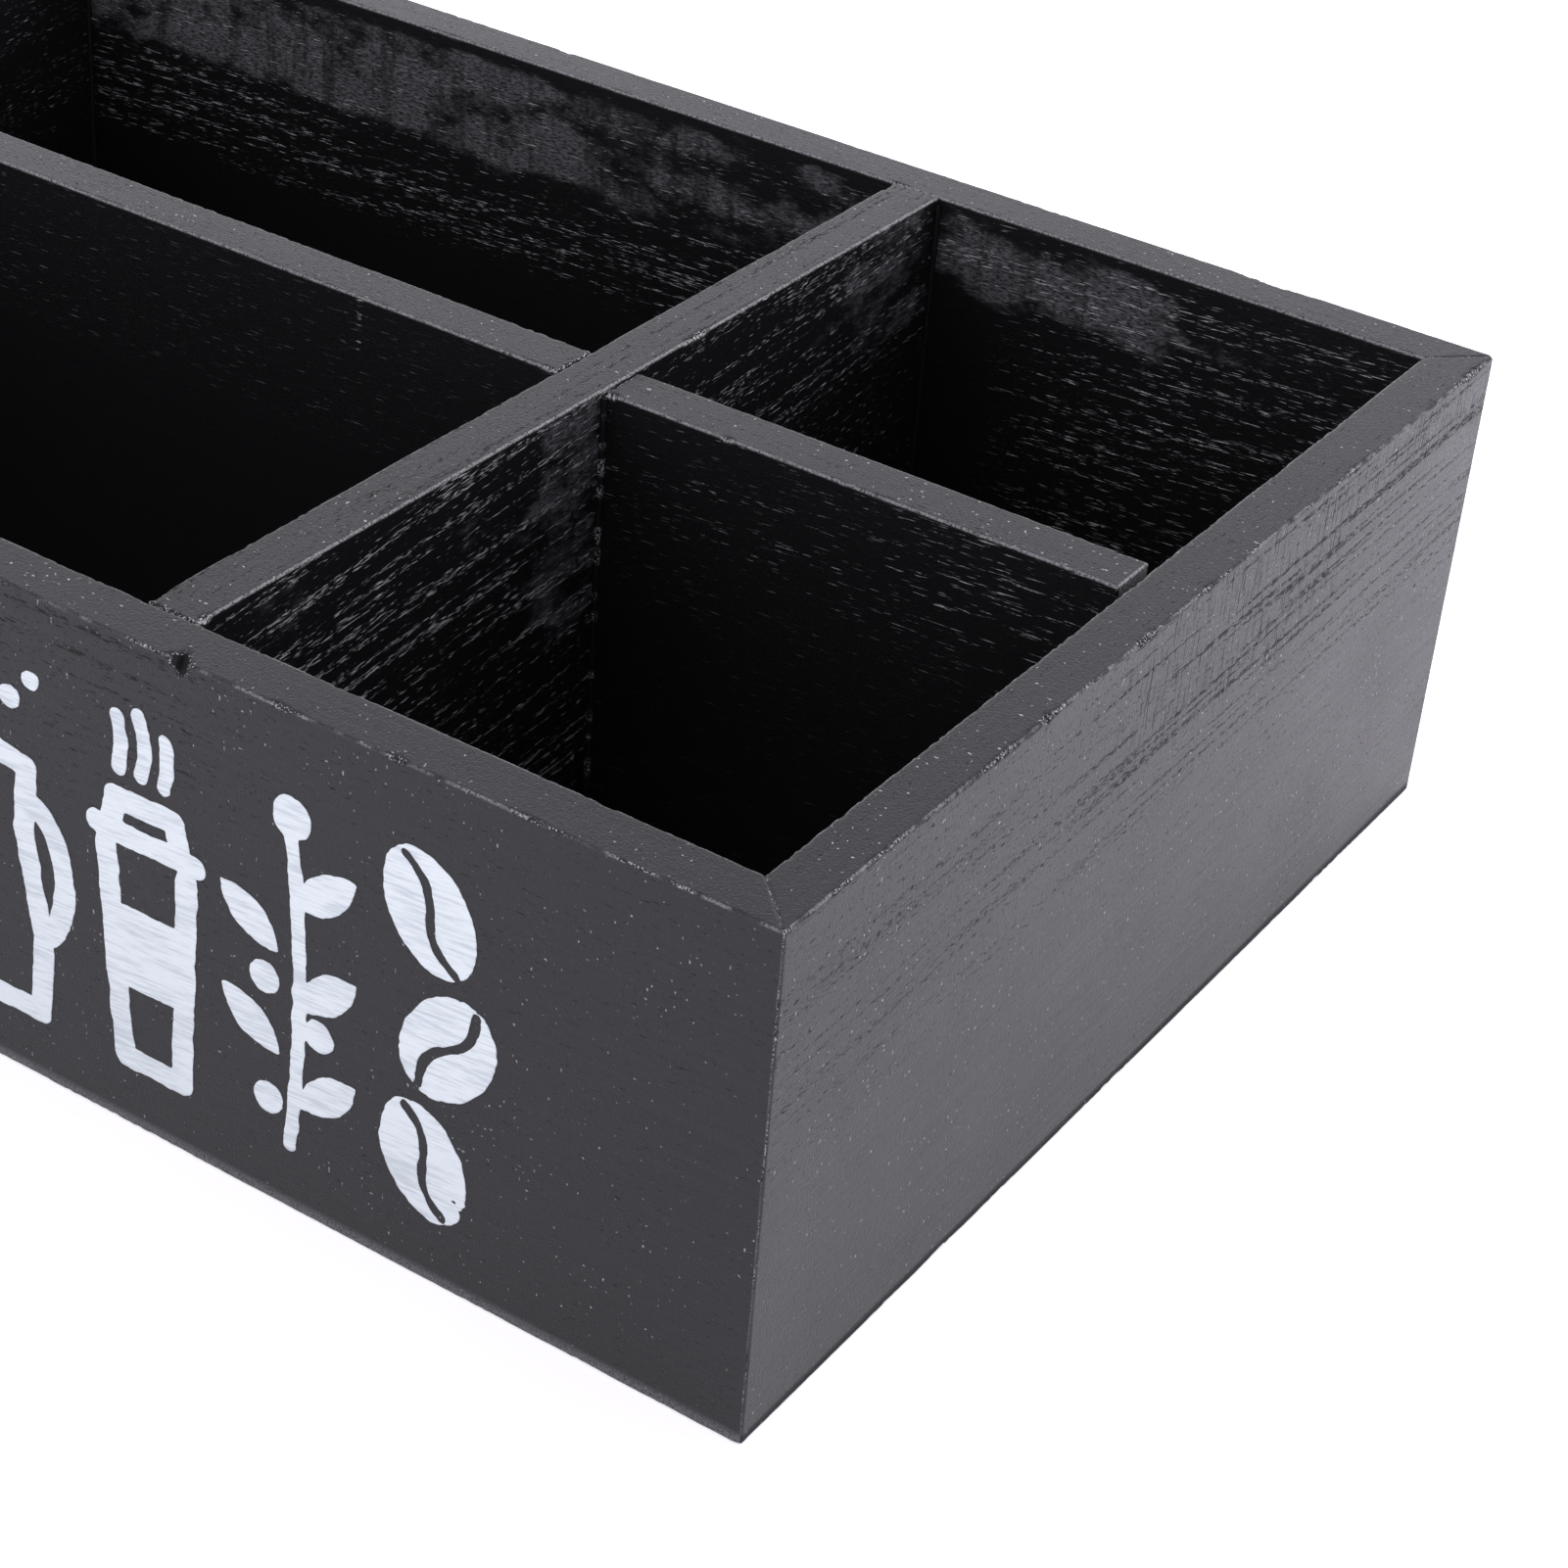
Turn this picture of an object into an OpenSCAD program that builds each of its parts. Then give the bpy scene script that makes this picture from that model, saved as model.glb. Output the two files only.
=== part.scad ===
// Open wooden caddy with four compartments: a mitred frame of four boards, a bottom panel let into
// rabbets and three dividers, all held by brads. Origin at the middle of the underside, +X to the right
// along the length, +Y to the back, +Z up.

/* [Box] */
// Outside length, left to right
box_l = 371; // [320:1:480]
// Outside depth, front to back
box_d = 249; // [220:1:340]
// Height of the four outer boards
box_h = 101; // [80:1:160]
// Thickness of the four outer boards
wall_t = 10.6; // [9:0.1:16]
// Radius of the four upright outer corners
corner_r = 1.2; // [0.4:0.1:3]
// Radius of the long arrises of the outer boards
arris_r = 0.8; // [0.3:0.1:2]

/* [Dividers] */
// Thickness of the three divider boards
divider_t = 11; // [8:0.1:16]
// Clear width of the two compartments on the right
right_cell_w = 110.7; // [80:0.1:150]
// Clear depth of the two compartments at the front
front_cell_d = 110.6; // [70:0.1:140]
// Gap between the free end of the short divider and the right end board
free_end_gap = 2; // [0.5:0.1:4]
// Hairline between the short divider and the cross divider
hairline = 0.2; // [0.1:0.1:1]
// How far the top of the short divider lies below the rim
short_drop = 0.6; // [0:0.1:3]
// Radius of the long arrises of the dividers
divider_arris_r = 0.7; // [0.3:0.1:2]

/* [Bottom panel] */
// Thickness of the bottom panel
bottom_t = 5; // [3:0.5:9]
// Width of the rabbet that the bottom panel lies in
rabbet_w = 5.3; // [3:0.1:6]
// Clearance between the panel's edge and the rabbet
panel_gap = 0.2; // [0.1:0.1:1]

/* [Brads] */
// Diameter of a brad's shank
brad_d = 1.2; // [1:0.1:1.6]
// Diameter of a brad's head
brad_head_d = 2; // [1.8:0.1:2.6]
// Thickness of a brad's head
brad_head_t = 0.7; // [0.4:0.1:1.2]
// Length of a brad's point
brad_point_l = 1.6; // [1:0.1:3]
// Length of the brads in the corners and in the divider ends
brad_l = 25; // [20:1:30]
// Length of the brads through the bottom panel
panel_brad_l = 18; // [14:1:22]
// Depth that the heads are set below an outer face, where filler covers them
set_depth = 1.2; // [0.8:0.1:2.5]
// Distance of the upper and lower brads from the top and bottom of the boards
brad_margin = 26; // [24:1:36]
// Widest gap between neighbouring brads through the bottom panel
panel_brad_gap = 90; // [50:5:140]
// Distance of a row's first and last panel brad from the ends of what it holds
panel_brad_end = 30; // [20:1:40]
// Radial clearance drawn between a brad and its hole
brad_fit = 0.02; // [0.01:0.01:0.1]

/* [Hidden] */
$fn = 48;
paint_black = "#2f2f33";
paint_side = "#3a3a3e";
ply_brown = "#6b5844";
brad_grey = "#9a9da1";
over = 1;

// Places worked out from the driving sizes
inner_l = box_l - 2 * wall_t;
inner_d = box_d - 2 * wall_t;
cross_x = box_l / 2 - wall_t - right_cell_w - divider_t / 2;
along_y = wall_t + front_cell_d + divider_t / 2 - box_d / 2;
cross_left_x = cross_x - divider_t / 2;
cross_right_x = cross_x + divider_t / 2;
long_l = cross_left_x + inner_l / 2;
short_start_x = cross_right_x + hairline;
short_l = inner_l / 2 - free_end_gap - short_start_x;
divider_h = box_h - bottom_t;
short_h = divider_h - short_drop;
panel_l = inner_l + 2 * (rabbet_w - panel_gap);
panel_d = inner_d + 2 * (rabbet_w - panel_gap);
low_z = brad_margin;
high_z = box_h - brad_margin;
shelf_inset = wall_t - rabbet_w / 2;
row_x = box_l / 2 - shelf_inset;
row_y = box_d / 2 - shelf_inset;

// Places along a span of the given length, centred on 0, no further apart than panel_brad_gap
function row(span) = let (
        reach = span - 2 * panel_brad_end,
        steps = max(1, ceil(reach / panel_brad_gap))
    ) [for (i = [0 : steps]) -reach / 2 + i * reach / steps];

// Rectangle on the first quadrant, with the corners in the list rounded: 0 is the origin, then anticlockwise
module eased_rect(w, h, r, corners) {
    difference() {
        square([w, h]);
        for (c = corners) {
            cx = (c == 1 || c == 2) ? w : 0;
            cy = c > 1 ? h : 0;
            translate([cx - r, cy - r]) square(2 * r);
        }
    }
    for (c = corners) {
        cx = (c == 1 || c == 2) ? w - r : r;
        cy = c > 1 ? h - r : r;
        translate([cx, cy]) circle(r);
    }
}

// Cross section of an outer board: x from its outer face inwards, y up, with the rabbet cut away
module board_section() {
    difference() {
        eased_rect(wall_t, box_h, arris_r, [0, 2, 3]);
        translate([wall_t - rabbet_w, -over]) square([rabbet_w + over, bottom_t + over]);
    }
}

// Outline of the whole box seen from above, with its rounded upright corners
module box_outline() {
    translate([-box_l / 2, -box_d / 2]) eased_rect(box_l, box_d, corner_r, [0, 1, 2, 3]);
}

// Outer board lying along the front, mitred at 45 degrees, for a box of the given length and depth
module mitred_board(l, d) {
    intersection() {
        translate([-l / 2, -d / 2, 0]) rotate([90, 0, 90]) linear_extrude(l) board_section();
        linear_extrude(box_h) polygon([[-l / 2, -d / 2], [l / 2, -d / 2],
            [l / 2 - wall_t, wall_t - d / 2], [wall_t - l / 2, wall_t - d / 2]]);
    }
}

// Divider standing on the bottom panel, along +X from the origin and centred across
module divider(l, h) {
    translate([0, -divider_t / 2, 0]) rotate([90, 0, 90]) linear_extrude(l)
        eased_rect(divider_t, h, divider_arris_r, [2, 3]);
}

// Brad pointing along +Z from the top of its head; grow widens it into the hole that it fills
module brad(l, grow) {
    cylinder(h = brad_head_t, d = brad_head_d + 2 * grow);
    cylinder(h = l - brad_point_l, d = brad_d + 2 * grow);
    translate([0, 0, l - brad_point_l])
        cylinder(h = brad_point_l, d1 = brad_d + 2 * grow, d2 = brad_d / 4 + 2 * grow);
}

// Two brads through each corner from the long boards and one from the end boards, heads set in
module corner_set(grow) {
    for (sx = [-1, 1], sy = [-1, 1]) {
        for (z = [low_z, high_z])
            translate([sx * (box_l / 2 - wall_t / 2), sy * (box_d / 2 - set_depth), z])
                rotate([sy * 90, 0, 0]) brad(brad_l, grow);
        translate([sx * (box_l / 2 - set_depth), sy * (box_d / 2 - wall_t / 2), box_h / 2])
            rotate([0, -sx * 90, 0]) brad(brad_l, grow);
    }
}

// Two brads from the front board and two from the back board into the ends of the cross divider
module cross_set(grow) {
    for (sy = [-1, 1], z = [low_z, high_z])
        translate([cross_x, sy * (box_d / 2 - set_depth), z]) rotate([sy * 90, 0, 0]) brad(brad_l, grow);
}

// Two brads from the left end board and two from the cross divider into the ends of the long divider
module long_set(grow) {
    for (z = [low_z, high_z]) {
        translate([set_depth - box_l / 2, along_y, z]) rotate([0, 90, 0]) brad(brad_l, grow);
        translate([cross_right_x - set_depth, along_y, z]) rotate([0, -90, 0]) brad(brad_l, grow);
    }
}

// Brads from below into the four boards above their rabbets, heads flush with the underside
module board_panel_set(grow) {
    for (x = row(inner_l), sy = [-1, 1])
        translate([x, sy * row_y, 0]) brad(panel_brad_l, grow);
    for (y = row(inner_d), sx = [-1, 1])
        translate([sx * row_x, y, 0]) brad(panel_brad_l, grow);
}

// Brads from below into the three dividers, heads flush with the underside
module cross_panel_set(grow) {
    for (y = row(inner_d)) translate([cross_x, y, 0]) brad(panel_brad_l, grow);
}
module long_panel_set(grow) {
    for (x = row(long_l)) translate([x + long_l / 2 - inner_l / 2, along_y, 0]) brad(panel_brad_l, grow);
}
module short_panel_set(grow) {
    for (x = row(short_l)) translate([x + short_start_x + short_l / 2, along_y, 0]) brad(panel_brad_l, grow);
}
module divider_panel_set(grow) {
    cross_panel_set(grow);
    long_panel_set(grow);
    short_panel_set(grow);
}

// Board along the front or, with turn = 180, along the back
module long_board(turn) {
    difference() {
        intersection() {
            rotate(turn) mitred_board(box_l, box_d);
            linear_extrude(box_h) box_outline();
        }
        corner_set(brad_fit);
        cross_set(brad_fit);
        board_panel_set(brad_fit);
    }
}

// Board along the right end or, with turn = 270, along the left end
module end_board(turn) {
    difference() {
        intersection() {
            rotate(turn) mitred_board(box_d, box_l);
            linear_extrude(box_h) box_outline();
        }
        corner_set(brad_fit);
        long_set(brad_fit);
        board_panel_set(brad_fit);
    }
}

module front_board() {
    color(paint_black) long_board(0);
}

module back_board() {
    color(paint_black) long_board(180);
}

module left_end_board() {
    color(paint_side) end_board(270);
}

module right_end_board() {
    color(paint_side) end_board(90);
}

module bottom_panel() {
    color(ply_brown) difference() {
        translate([-panel_l / 2, -panel_d / 2, 0]) cube([panel_l, panel_d, bottom_t]);
        board_panel_set(brad_fit);
        divider_panel_set(brad_fit);
    }
}

module cross_divider() {
    color(paint_black) difference() {
        translate([cross_x, -inner_d / 2, bottom_t]) rotate(90) divider(inner_d, divider_h);
        cross_set(brad_fit);
        long_set(brad_fit);
        cross_panel_set(brad_fit);
    }
}

module long_divider() {
    color(paint_black) difference() {
        translate([-inner_l / 2, along_y, bottom_t]) divider(long_l, divider_h);
        long_set(brad_fit);
        long_panel_set(brad_fit);
    }
}

module short_divider() {
    color(paint_black) difference() {
        translate([short_start_x, along_y, bottom_t]) divider(short_l, short_h);
        short_panel_set(brad_fit);
    }
}

module corner_brads() {
    color(brad_grey) corner_set(0);
}

module cross_divider_brads() {
    color(brad_grey) cross_set(0);
}

module long_divider_brads() {
    color(brad_grey) long_set(0);
}

module board_panel_brads() {
    color(brad_grey) board_panel_set(0);
}

module divider_panel_brads() {
    color(brad_grey) divider_panel_set(0);
}

front_board();
back_board();
left_end_board();
right_end_board();
bottom_panel();
cross_divider();
long_divider();
short_divider();
corner_brads();
cross_divider_brads();
long_divider_brads();
board_panel_brads();
divider_panel_brads();
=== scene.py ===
import math
import bpy
import numpy as np
from mathutils import Matrix, Vector


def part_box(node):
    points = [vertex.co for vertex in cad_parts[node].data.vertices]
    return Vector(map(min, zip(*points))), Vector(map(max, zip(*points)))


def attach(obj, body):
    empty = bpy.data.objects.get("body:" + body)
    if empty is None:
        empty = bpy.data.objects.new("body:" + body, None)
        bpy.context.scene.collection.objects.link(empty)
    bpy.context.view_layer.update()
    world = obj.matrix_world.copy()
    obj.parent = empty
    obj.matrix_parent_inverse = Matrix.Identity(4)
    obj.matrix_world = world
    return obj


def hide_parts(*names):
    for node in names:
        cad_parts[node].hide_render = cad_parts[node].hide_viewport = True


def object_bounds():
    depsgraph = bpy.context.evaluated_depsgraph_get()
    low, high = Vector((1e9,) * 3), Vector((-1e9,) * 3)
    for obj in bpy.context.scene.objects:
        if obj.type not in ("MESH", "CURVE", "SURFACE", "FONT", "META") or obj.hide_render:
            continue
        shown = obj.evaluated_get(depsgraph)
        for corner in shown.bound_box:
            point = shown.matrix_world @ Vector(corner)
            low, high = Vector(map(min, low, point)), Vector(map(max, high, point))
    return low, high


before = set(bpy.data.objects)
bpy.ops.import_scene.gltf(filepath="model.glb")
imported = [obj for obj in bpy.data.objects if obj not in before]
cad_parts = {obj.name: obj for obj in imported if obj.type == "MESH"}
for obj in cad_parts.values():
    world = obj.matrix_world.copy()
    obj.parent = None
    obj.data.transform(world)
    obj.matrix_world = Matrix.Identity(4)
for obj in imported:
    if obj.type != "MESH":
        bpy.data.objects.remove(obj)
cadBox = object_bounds()
mm = 0.001
print("frame loaded:", len(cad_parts), "nodes")


# Random values that are the same on every run

lineCells, patchCells = 1024, 256  # sizes of the random tables, which repeat beyond that


def eased(t):
    return t * t * (3 - 2 * t)


def lineNoise(along, cell, seed):  # one value per cell, eased between them
    table = np.random.RandomState(seed).rand(lineCells)
    place = np.asarray(along) / cell
    low = np.floor(place).astype(int)
    ease = eased(place - low)
    return table[low % lineCells] * (1 - ease) + table[(low + 1) % lineCells] * ease


def patchNoise(x, y, cell, seed):  # the same over a plane
    table = np.random.RandomState(seed).rand(patchCells, patchCells)
    px, py = x / cell, y / cell
    ix, iy = np.floor(px).astype(int), np.floor(py).astype(int)
    fx, fy = eased(px - ix), eased(py - iy)
    left, right = ix % patchCells, (ix + 1) % patchCells
    near, far = iy % patchCells, (iy + 1) % patchCells
    low = table[near, left] * (1 - fx) + table[near, right] * fx
    high = table[far, left] * (1 - fx) + table[far, right] * fx
    return low * (1 - fy) + high * fy


def smooth(value, low, high):  # 0 below low, 1 above high, eased
    return eased(np.clip((value - low) / (high - low), 0, 1))


def band(value, low, high, soft):  # 1 between low and high, eased to 0 outside
    return smooth(value, low - soft, low + soft) * (1 - smooth(value, high - soft, high + soft))


# Nodes written as expressions

class Socket:
    def __init__(self, tree, link):
        self.tree, self.link = tree, link

    def maths(self, operation, first, second):
        return self.tree.node("ShaderNodeMath", {"operation": operation}, [first, second])

    def __add__(self, other):
        return self.maths("ADD", self, other)

    def __sub__(self, other):
        return self.maths("SUBTRACT", self, other)

    def __rsub__(self, other):
        return self.maths("SUBTRACT", other, self)

    def __mul__(self, other):
        return self.maths("MULTIPLY", self, other)

    def __truediv__(self, other):
        return self.maths("DIVIDE", self, other)

    __radd__, __rmul__ = __add__, __mul__

    def between(self, low, high):  # 0 below low, 1 above high, eased
        sockets = {"Value": self, "From Min": low, "From Max": high}
        return self.tree.node("ShaderNodeMapRange", {"interpolation_type": "SMOOTHSTEP"}, sockets)


class NodeTree:
    def __init__(self, tree):
        self.tree = tree
        tree.nodes.clear()

    def node(self, kind, settings=None, sockets=None, output=0):
        made = self.tree.nodes.new(kind)
        for key, value in (settings or {}).items():
            setattr(made, key, value)
        pairs = sockets.items() if isinstance(sockets, dict) else enumerate(sockets or [])
        for key, value in pairs:
            for part in value if isinstance(value, list) and isinstance(value[0], Socket) else [value]:
                if isinstance(part, Socket):
                    self.tree.links.new(part.link, made.inputs[key])
                else:
                    made.inputs[key].default_value = part
        return Socket(self, made.outputs[output]) if len(made.outputs) else None

    def given(self, label):  # a value handed to a node group
        return self.node("NodeGroupInput", output=label)


class Finish(NodeTree):
    def __init__(self, name):
        self.material = bpy.data.materials.new(name)
        self.material.use_nodes = True
        super().__init__(self.material.node_tree)

    def place(self, stretch, turn=(0, 0, 0)):  # object coordinates, one unit per stretch millimetres
        where = self.node("ShaderNodeTexCoord", output="Object")
        turn = [math.radians(angle) for angle in turn]
        size = [length * mm for length in stretch]
        return self.node("ShaderNodeMapping", {"vector_type": "TEXTURE"},
                         {"Vector": where, "Rotation": turn, "Scale": size})

    def along(self, grain, length, across, tilt):  # stretched along x (0) or y (1)
        stretch = [across, across, across]
        stretch[grain] = length
        return self.place(stretch, (tilt, 0, 0) if grain else (0, -tilt, 0))

    def noise(self, vector, detail=1.0, roughness=0.5):
        sockets = {"Vector": vector, "Scale": 1.0, "Detail": detail, "Roughness": roughness}
        return self.node("ShaderNodeTexNoise", {"noise_dimensions": "3D"}, sockets)

    def painted(self, name):  # a value painted on the mesh
        return self.node("ShaderNodeAttribute", {"attribute_name": name}, output="Fac")

    def mix(self, factor, first, second):
        return self.node("ShaderNodeMix", {"data_type": "RGBA"}, {0: factor, 6: first, 7: second}, output=2)

    def bump(self, height, distance):
        return self.node("ShaderNodeBump", None, {"Height": height, "Distance": distance * mm})

    def done(self, sockets):
        shader = self.node("ShaderNodeBsdfPrincipled", None, sockets)
        self.node("ShaderNodeOutputMaterial", None, {"Surface": shader})
        return self.material


# Finishes: black paint on the outsides and tops, thin scraped paint inside, with painted highlights and
# shade

blackPaint = {
    "paint": (0.0082, 0.0079, 0.0088, 1),
    "thin": (0.0158, 0.0153, 0.0166, 1),
    # dark colour of the pores, also used for painted shade at the foot and in torn arrises
    "pore": (0.002, 0.002, 0.002, 1),
    "rubbedAndHighlight": (0.23, 0.23, 0.24, 1),  # painted highlight on an arris, mixed with paint rubbed thin there
    "filler": (0.42, 0.42, 0.43, 1),  # pale bits where an arris is torn
    "dust": (0.36, 0.36, 0.37, 1),
    "roughness": 0.33,
    "poreSize": (1.5, 0.25, 1.0),  # length and width in millimetres, and tilt in degrees
    "rowSize": (75, 1.2, 0.6),
    "gapSize": (2.4, 0.45, 0.6),  # gaps between the dashes of a row
    "streakSize": (45, 0.8, 0.6),
    "rowRange": (0.50, 0.66),  # a mark starts at the first level of its noise and is full at the second
    "poreRange": (0.67, 0.79),
    "gapRange": (0.38, 0.52),
    "streakRange": (0.35, 0.75),
    "dustRange": [(0.865, 0.96), (0.872, 0.935)],  # a higher start gives fewer specks
    "dustCrowd": 0.16,  # how far the specks gather in clouds
    "dustSize": (0.72, 0.72, 0.72),
    "cloudSize": (26, 26, 26),
    "fineSize": (0.42, 0.42, 0.42),
    "hatchSize": (0.45, 0.45, 7.0),  # short brush marks across the grain
    "hatchRange": (0.57, 0.69),
    "hatchFrom": (1.05, 1.5),  # only where the mesh is painted with more pores than this
    "deepFrom": (1.05, 1.35),  # the bottom of a chip torn deeper than this is painted dark, as shade in its hollow
    "rubbedAndHighlightRange": (0.30, 0.60),
    "paleRange": (0.54, 0.60),
    "hollowRange": (0.40, 0.50),
    "relief": 0.12,
    "ior": 1.45,
}


def paintedFace(name, grain):
    look = blackPaint
    finish = Finish(name)
    pores, wear, torn, foot = (finish.painted(word) for word in ("pores", "wear", "torn", "foot"))
    rows = finish.noise(finish.along(grain, *look["rowSize"])).between(*look["rowRange"])
    dashes = finish.noise(finish.along(grain, *look["poreSize"]))
    gaps = finish.noise(finish.along(grain, *look["gapSize"]), 1.0).between(*look["gapRange"])
    # the foot band adds a painted shadow along the bottom of the outer face, in the pores' dark colour
    poresAndFootShade = (dashes + rows * pores * 0.18 + pores * 0.04).between(*look["poreRange"]) * gaps + foot
    hatch = finish.noise(finish.place(look["hatchSize"])).between(*look["hatchRange"])
    hatch = hatch * pores.between(*look["hatchFrom"])
    streak = finish.noise(finish.along(grain, *look["streakSize"]), 2.0, 0.6)
    fine = finish.noise(finish.place(look["fineSize"]), 1.0, 0.6)
    cloud = finish.noise(finish.place(look["cloudSize"]), 2.0)
    specks = finish.noise(finish.place(look["dustSize"]), 0.0)
    dust = (specks + cloud * look["dustCrowd"]).between(*look["dustRange"][grain])
    bits = finish.noise(finish.place(look["fineSize"]), 2.0, 0.7)
    # deep and the gap mask carry painted shade, dark in the hollows of chips and torn arrises; pale is
    # filler
    deep = torn.between(*look["deepFrom"])
    loose = torn.between(0.0, 1.0)
    pale = loose * bits.between(*look["paleRange"]) * (1 - deep)
    gapShade = loose * (1 - bits.between(*look["hollowRange"])) * (1 - deep) + deep

    scraped = streak.between(*look["streakRange"]) * (pores * 0.6 + 0.35)
    colour = finish.mix(scraped, look["paint"], look["thin"])
    colour = finish.mix(poresAndFootShade, colour, look["pore"])
    colour = finish.mix(hatch * 0.7, colour, look["pore"])
    # painted highlight along the arrises, mixed with rubbed paint, broken up by noise
    colour = finish.mix(wear * bits.between(*look["rubbedAndHighlightRange"]), colour, look["rubbedAndHighlight"])
    colour = finish.mix(gapShade, colour, look["pore"])
    colour = finish.mix(pale, colour, look["filler"])
    colour = finish.mix(dust * 0.8, colour, look["dust"])
    roughness = (streak - 0.5) * 0.18 + (fine - 0.5) * 0.2 + (cloud - 0.5) * 0.1 + look["roughness"]
    roughness = roughness + poresAndFootShade * 0.4 + hatch * 0.25 + gapShade * 0.4 + pale * 0.3
    height = fine * 0.75 + streak * 0.22 - poresAndFootShade * 0.8 - hatch * 0.3 - gapShade + dust * 0.4
    relief = finish.bump(height, look["relief"])
    return finish.done({"Base Color": colour, "Roughness": roughness, "Normal": relief, "IOR": look["ior"]})


insidePaint = {
    "wet": (0.0052, 0.0052, 0.0057, 1),
    "film": (0.092, 0.091, 0.099, 1),  # dry grey film left by the brush
    "glint": (0.42, 0.42, 0.435, 1),  # painted glints: light dashes standing in for highlights on the grain's ridges
    "tilt": [3.0, 4.5],  # of the grain, on boards along x and on boards along y
    "dashSize": [(4.4, 0.27), (2.7, 0.22)],
    "dashRange": [(0.67, 0.82), (0.71, 0.84)],
    "rowSize": (60, 1.4),
    "rowRange": (0.47, 0.62),
    "gritSize": (1.5, 0.33),
    "gritRange": (0.38, 0.54),
    "patchSize": (17, 17, 8),
    "patchRange": (0.42, 0.65),
    "filmRange": (0.72, 0.90),
    "filmGrit": (0.36, 0.62),
    "brushSize": (4.0, 4.0, 30),
    "brushRange": (0.34, 0.52),
    "paleRange": (0.52, 0.58),
    "roughness": 0.42,
    "relief": 0.16,
}


def paintedInside(name, grain):
    look = insidePaint
    finish = Finish(name)
    film, glint, wear, torn = (finish.painted(word) for word in ("film", "glint", "wear", "torn"))
    tilt = look["tilt"][grain]
    rows = finish.noise(finish.along(grain, *look["rowSize"], tilt), 1.0)
    dashes = finish.noise(finish.along(grain, *look["dashSize"][grain], tilt), 1.0)
    patch = finish.noise(finish.place(look["patchSize"]), 6.0, 0.66)
    grit = finish.noise(finish.along(grain, *look["gritSize"], tilt), 2.0, 0.65)
    crowd = rows.between(*look["rowRange"]) * 0.16 + patch.between(*look["patchRange"]) * 0.05
    lightDash = (dashes + crowd * glint).between(*look["dashRange"][grain]) * glint.between(0.0, 0.4)
    lightDash = lightDash * grit.between(*look["gritRange"])
    brush = finish.noise(finish.place(look["brushSize"]), 3.0, 0.6).between(*look["brushRange"])
    filmMask = (patch + film * 0.38).between(*look["filmRange"]) * (brush * 0.55 + 0.45)
    filmMask = filmMask * (grit.between(*look["filmGrit"]) * 0.85 + 0.15) * film.between(0.02, 0.3)
    bits = finish.noise(finish.place(blackPaint["fineSize"]), 2.0, 0.7)

    colour = finish.mix(filmMask, look["wet"], look["film"])
    # painted glints along the grain
    colour = finish.mix(lightDash, colour, look["glint"])
    # painted highlight along the arrises, mixed with rubbed paint
    colour = finish.mix(wear * bits.between(*blackPaint["rubbedAndHighlightRange"]), colour, blackPaint["rubbedAndHighlight"])
    colour = finish.mix(torn * bits.between(*look["paleRange"]), colour, blackPaint["filler"])
    roughness = filmMask * 0.2 + (grit - 0.5) * 0.2 + look["roughness"]
    relief = finish.bump(grit * 0.3 + dashes * 0.3 + lightDash * 0.4, look["relief"])
    sockets = {"Base Color": colour, "Roughness": roughness, "Normal": relief, "IOR": blackPaint["ior"]}
    return finish.done(sockets)


whitePaint = {
    "full": (0.765, 0.83, 0.845, 1),
    "thin": (0.585, 0.643, 0.672, 1),
    "streakSize": (6.0, 1.0, 0.42),
    "streakTilt": (0, -5, 0),
    "loadSize": (14, 1.0, 7),  # how the paint on the brush runs out
    "fullRange": (0.36, 0.56),
    "roughness": 0.5,
    "relief": 0.10,
}


def brushedWhite(name):
    look = whitePaint
    finish = Finish(name)
    streak = finish.noise(finish.place(look["streakSize"], look["streakTilt"]), 2.0, 0.6)
    load = finish.noise(finish.place(look["loadSize"]), 2.0)
    thin = 1 - (streak * 0.7 + load * 0.3).between(*look["fullRange"])
    colour = finish.mix(thin, look["full"], look["thin"])
    relief = finish.bump(streak, look["relief"])
    return finish.done({"Base Color": colour, "Roughness": look["roughness"], "Normal": relief})


panelPaint = {
    "thick": (0.011, 0.011, 0.012, 1),
    "thin": (0.030, 0.026, 0.023, 1),
    "check": (0.003, 0.003, 0.003, 1),  # fine cracks along the veneer
    "veneerSize": (60, 1.6, 1.6),
    "flameSize": (160, 14, 14),
    "checkSize": (9, 0.35, 0.35),
    "thinRange": (0.4, 0.62),
    "checkRange": (0.66, 0.72),
    "roughness": 0.58,
    "relief": 0.14,
}


def paintedPly(name):
    look = panelPaint
    finish = Finish(name)
    veneer = finish.noise(finish.place(look["veneerSize"]), 3.0, 0.6)
    flame = finish.noise(finish.place(look["flameSize"]), 2.0)
    check = finish.noise(finish.place(look["checkSize"])).between(*look["checkRange"])
    thin = (veneer * 0.6 + flame * 0.4).between(*look["thinRange"])
    colour = finish.mix(thin, look["thick"], look["thin"])
    colour = finish.mix(check * 0.8, colour, look["check"])
    relief = finish.bump(veneer * 0.4 - check, look["relief"])
    roughness = (flame - 0.5) * 0.2 + look["roughness"]
    return finish.done({"Base Color": colour, "Roughness": roughness, "Normal": relief})


bradWire = {
    "steel": (0.42, 0.43, 0.44, 1),
    "paint": (0.02, 0.02, 0.021, 1),
    "smearSize": (1.3, 1.3, 1.3),
    "smearRange": (0.40, 0.54),
    "drawnSize": (0.25, 0.25, 4.0),
    "roughness": 0.25,
    "relief": 0.03,
}


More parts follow.
